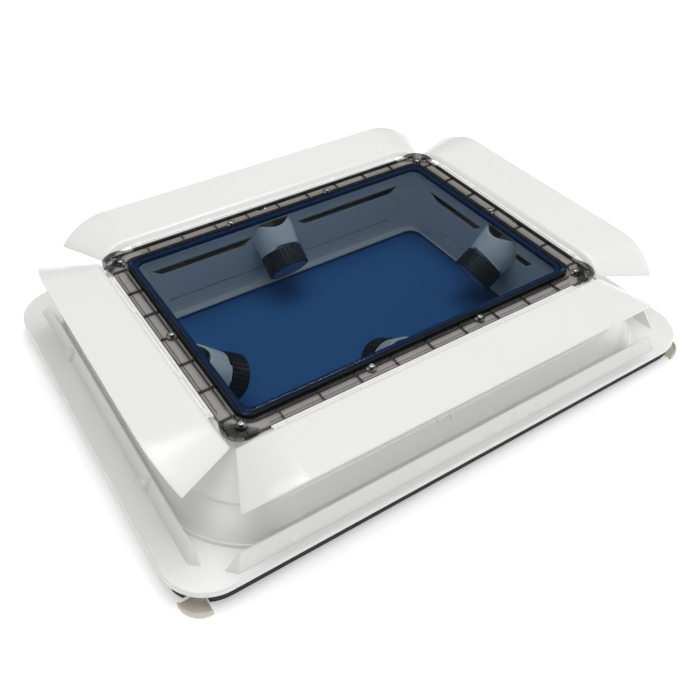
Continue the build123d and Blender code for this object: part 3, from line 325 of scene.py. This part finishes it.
def brightMetal(name):
    look = metals[name]
    material, tree, output, place = newMaterial(name)
    shader = addSurface(tree, output)
    shader.inputs["Metallic"].default_value = 1.0
    lay = tree.nodes.new("ShaderNodeMapping")
    lay.inputs["Scale"].default_value = look["stretch"]
    tree.links.new(place, lay.inputs["Vector"])
    lines = addNoise(tree, lay.outputs["Vector"], brushing["scale"], brushing["detail"], brushing["rough"])
    darker = tuple(c * brushing["shade"] for c in look["colour"])
    tone = addMix(tree, addRange(tree, lines, 0.0, 1.0), look["colour"], darker)
    tree.links.new(tone, shader.inputs["Base Color"])
    roughest = look["roughness"] + brushing["roughVary"]
    tree.links.new(addRange(tree, lines, look["roughness"], roughest), shader.inputs["Roughness"])
    tree.links.new(addBump(tree, lines, brushing["height"]), shader.inputs["Normal"])
    return material


# The blind's cloth: its colour drifts to the shade, and the gaps of the weave are darker
blindLook = {"colour": (0.042, 0.170, 0.415), "shade": (0.038, 0.160, 0.395), "gap": (0.02, 0.08, 0.22),
             "gapAmount": 0.12, "threadScale": 1800.0, "threadHeight": 0.00006, "threadWave": 0.4,
             "driftScale": 5.0, "driftDetail": 3.0, "roughness": 0.62, "sheen": 0.05}


def coatedCloth(name):
    # A fine plain weave under a smooth coating, with very slow tone changes
    look = blindLook
    material, tree, output, place = newMaterial(name)
    shader = addSurface(tree, output)
    drift = addNoise(tree, place, look["driftScale"], look["driftDetail"])
    tone = addMix(tree, addRange(tree, drift, 0.0, 1.0), look["colour"], look["shade"])
    heights = []
    for turn in (0.0, math.pi / 2):
        lay = tree.nodes.new("ShaderNodeMapping")
        lay.inputs["Rotation"].default_value = (0, 0, turn)
        tree.links.new(place, lay.inputs["Vector"])
        threads = tree.nodes.new("ShaderNodeTexWave")
        threads.inputs["Scale"].default_value = look["threadScale"] / 2
        threads.inputs["Distortion"].default_value = look["threadWave"]
        tree.links.new(lay.outputs["Vector"], threads.inputs["Vector"])
        heights.append(threads.outputs["Fac"])
    weave = work(tree, "MAXIMUM", *heights)
    gaps = addRange(tree, weave, look["gapAmount"], 0.0)
    tree.links.new(addMix(tree, gaps, tone, look["gap"]), shader.inputs["Base Color"])
    shader.inputs["Roughness"].default_value = look["roughness"]
    shader.inputs["Sheen Weight"].default_value = look["sheen"]
    tree.links.new(addBump(tree, weave, look["threadHeight"]), shader.inputs["Normal"])
    return material


materials = {name: mouldedPlastic(name) for name in finishes}
materials.update({name: seeThroughPlastic(name) for name in smoked})
materials["foamBlack"] = foamRubber("foamBlack")
materials.update({name: brightMetal(name) for name in metals})
materials["blindBlue"] = coatedCloth("blindBlue")
print("materials made")

# Which finish each CAD node wears, and how wide its softened edges are
wearing = {
    "roof_base": ("shellWhite", 0.0008),
    "well_liner": ("linerWhite", 0.0006),
    "lower_frame": ("frameCream", 0.0008),
    "foam_strips": ("foamBlack", 0.0012),
    "smoked_rim": ("rimSmoke", 0.0),
    "rim_gasket": ("gasketBlack", 0.0003),
    "smoked_pane": ("paneSmoke", 0.0),
    "cover_screws": ("screwSteel", 0.0002),
    "frame_screws": ("screwSteel", 0.0002),
    "liner_screws": ("screwSteel", 0.0002),
    "vent_seals": ("sealPale", 0.0004),
    "blind_rails": ("linerWhite", 0.0003),
    "blind_cassette": ("linerWhite", 0.0005),
    "blind_pull_bar": ("barAluminium", 0.0004),
    "blind_roller": ("barAluminium", 0.0002),
}
perSide = {
    "flap_": ("shellWhite", 0.0008),
    "flap_lever_": ("linerWhite", 0.0003),
    "lever_pin_": ("pinSteel", 0.0002),
    "hinge_rod_": ("pinSteel", 0.0),
    "push_rod_": ("rodGrey", 0.0003),
    "knob_": ("knobDark", 0.0004),
    "knob_cap_": ("capBlueGrey", 0.0003),
    "circlip_": ("pinSteel", 0.0),
    "index_ring_": ("linerWhite", 0.0002),
}
for start, worn in perSide.items():
    for side in sides:
        wearing[start + side] = worn

# How the edges are softened: points this near are joined, and edges sharper than the limit are rounded
edges = {"join": 0.00001, "segments": 3, "limit": 32}


def dress(node, finish, soften):
    # Materials and modifiers only: the node's own mesh stays as it is
    obj = nodes[node]
    obj.data.materials.clear()
    obj.data.materials.append(materials[finish])
    weld = obj.modifiers.new("join", "WELD")
    weld.merge_threshold = edges["join"]
    if soften:
        bevel = obj.modifiers.new("soften", "BEVEL")
        bevel.width = soften
        bevel.segments = edges["segments"]
        bevel.limit_method = "ANGLE"
        bevel.angle_limit = math.radians(edges["limit"])
        bevel.harden_normals = True


for node, (finish, soften) in wearing.items():
    dress(node, finish, soften)
print("CAD nodes dressed")

# The blind's cloth: a thin sheet drawn flat from the cassette to the pull bar
blindCloth = {"name": "blindClothSheet", "columns": 48, "rows": 30, "sag": 0.0003, "thickness": 0.0004,
              "inset": 0.001}


def makeBlindCloth():
    low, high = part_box("blind_cloth")
    look = blindCloth
    mesh = bmesh.new()
    rows = []
    middle = (low.z + high.z) / 2
    for i in range(look["columns"] + 1):
        x = low.x + (high.x - low.x) * i / look["columns"]
        row = []
        for j in range(look["rows"] + 1):
            share = j / look["rows"]
            y = low.y + look["inset"] + (high.y - low.y - 2 * look["inset"]) * share
            dip = look["sag"] * math.sin(math.pi * share) * math.sin(math.pi * i / look["columns"])
            row.append(mesh.verts.new((x, y, middle - dip)))
        rows.append(row)
    for near, far in zip(rows, rows[1:]):
        for j in range(look["rows"]):
            mesh.faces.new((near[j], far[j], far[j + 1], near[j + 1]))
    data = bpy.data.meshes.new(look["name"])
    mesh.to_mesh(data)
    mesh.free()
    data.polygons.foreach_set("use_smooth", [True] * len(data.polygons))
    obj = bpy.data.objects.new(look["name"], data)
    bpy.context.scene.collection.objects.link(obj)
    data.materials.append(materials["blindBlue"])
    solid = obj.modifiers.new("thickness", "SOLIDIFY")
    solid.thickness = look["thickness"]
    solid.offset = 0
    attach(obj, "vent")
    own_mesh(obj)
    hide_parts("blind_cloth")


makeBlindCloth()
print("blind cloth made")

# The floor and the room's light. The screen stands the way shadeWay points, and leaves the share shadeLeft
studio = {"floorColour": (0.96, 0.96, 0.96), "floorShade": (0.94, 0.94, 0.94), "floorGlow": 0.34,
          "floorHalf": 6.0, "floorRoughness": 0.9,
          "mottleScale": 3.0, "mottleDetail": 2.0, "mottleAmount": 0.5,
          "aim": (0.0, 0.0, 0.08), "sky": 0.38, "shadeWay": (0.418, 0.668, 0.616),
          "shadeCore": 0.93, "shadeRim": 0.72, "shadeLeft": 0.12}
# Soft boxes, kept out of what the flat pane mirrors to the camera
lamps = {"topLamp": {"place": (0.0, 0.1, 2.5), "size": 2.2, "power": 38.0},
         "leftLamp": {"place": (-2.6, 0.3, 1.2), "size": 1.4, "power": 2.0},
         "frontLamp": {"place": (0.4, -2.7, 1.3), "size": 1.6, "power": 8.0},
         "backLamp": {"place": (-0.9, 2.4, 1.4), "size": 1.2, "power": 2.0},
         "rightLamp": {"place": (2.8, -0.6, 1.2), "size": 1.4, "power": 18.0},
         "glossLamp": {"place": (0.55, 0.50, 2.30), "size": 0.7, "power": 6.0}}


def makeFloor():
    half = studio["floorHalf"]
    corners = [(-half, -half, 0), (half, -half, 0), (half, half, 0), (-half, half, 0)]
    data = bpy.data.meshes.new("paleFloor")
    data.from_pydata(corners, [], [(0, 1, 2, 3)])
    floor = bpy.data.objects.new("paleFloor", data)
    bpy.context.scene.collection.objects.link(floor)
    material, tree, output, place = newMaterial("floorPale")
    shader = addSurface(tree, output)
    mottle = addNoise(tree, place, studio["mottleScale"], studio["mottleDetail"])
    patchy = addRange(tree, mottle, 0.0, studio["mottleAmount"])
    tone = addMix(tree, patchy, studio["floorColour"], studio["floorShade"])
    tree.links.new(tone, shader.inputs["Base Color"])
    tree.links.new(tone, shader.inputs["Emission Color"])
    shader.inputs["Emission Strength"].default_value = studio["floorGlow"]
    shader.inputs["Roughness"].default_value = studio["floorRoughness"]
    data.materials.append(material)


def makeLamp(name, look):
    data = bpy.data.lights.new(name, "AREA")
    data.size = look["size"]
    data.energy = look["power"]
    lamp = bpy.data.objects.new(name, data)
    lamp.location = look["place"]
    aim = Vector(studio["aim"]) - Vector(look["place"])
    lamp.rotation_euler = aim.to_track_quat("-Z", "Y").to_euler()
    bpy.context.scene.collection.objects.link(lamp)


def makeRoom():
    # Even light from all round, with one dark screen on the side that the pane faces
    world = bpy.data.worlds.new("softRoom")
    world.use_nodes = True
    tree = world.node_tree
    backdrop = tree.nodes["Background"]
    coords = tree.nodes.new("ShaderNodeTexCoord")
    near = tree.nodes.new("ShaderNodeVectorMath")
    near.operation = "DOT_PRODUCT"
    near.inputs[1].default_value = studio["shadeWay"]
    tree.links.new(coords.outputs["Generated"], near.inputs[0])
    sky = studio["sky"]
    dimmed = sky * studio["shadeLeft"]
    strength = addRange(tree, near.outputs["Value"], sky, dimmed, studio["shadeRim"], studio["shadeCore"])
    tree.links.new(strength, backdrop.inputs["Strength"])
    backdrop.inputs["Color"].default_value = (1, 1, 1, 1)
    bpy.context.scene.world = world
    bpy.context.scene.view_settings.view_transform = "Standard"


makeFloor()
for name, look in lamps.items():
    makeLamp(name, look)
makeRoom()

# The photograph's camera: place in metres, turn in degrees, lens and sensor in millimetres
cameraView = {"place": (-0.53111, -0.76154, 0.83393), "turn": (47.4719, -0.0309, -32.4438), "lens": 39.88,
              "sensor": 36.0, "shift": (0.0429, -0.0114)}
cameraData = bpy.data.cameras.new("photoCamera")
cameraData.sensor_width = cameraView["sensor"]
cameraData.lens = cameraView["lens"]
cameraData.shift_x, cameraData.shift_y = cameraView["shift"]
camera = bpy.data.objects.new("photoCamera", cameraData)
camera.location = cameraView["place"]
camera.rotation_euler = tuple(math.radians(a) for a in cameraView["turn"])
bpy.context.scene.collection.objects.link(camera)
bpy.context.scene.camera = camera
print("studio set")
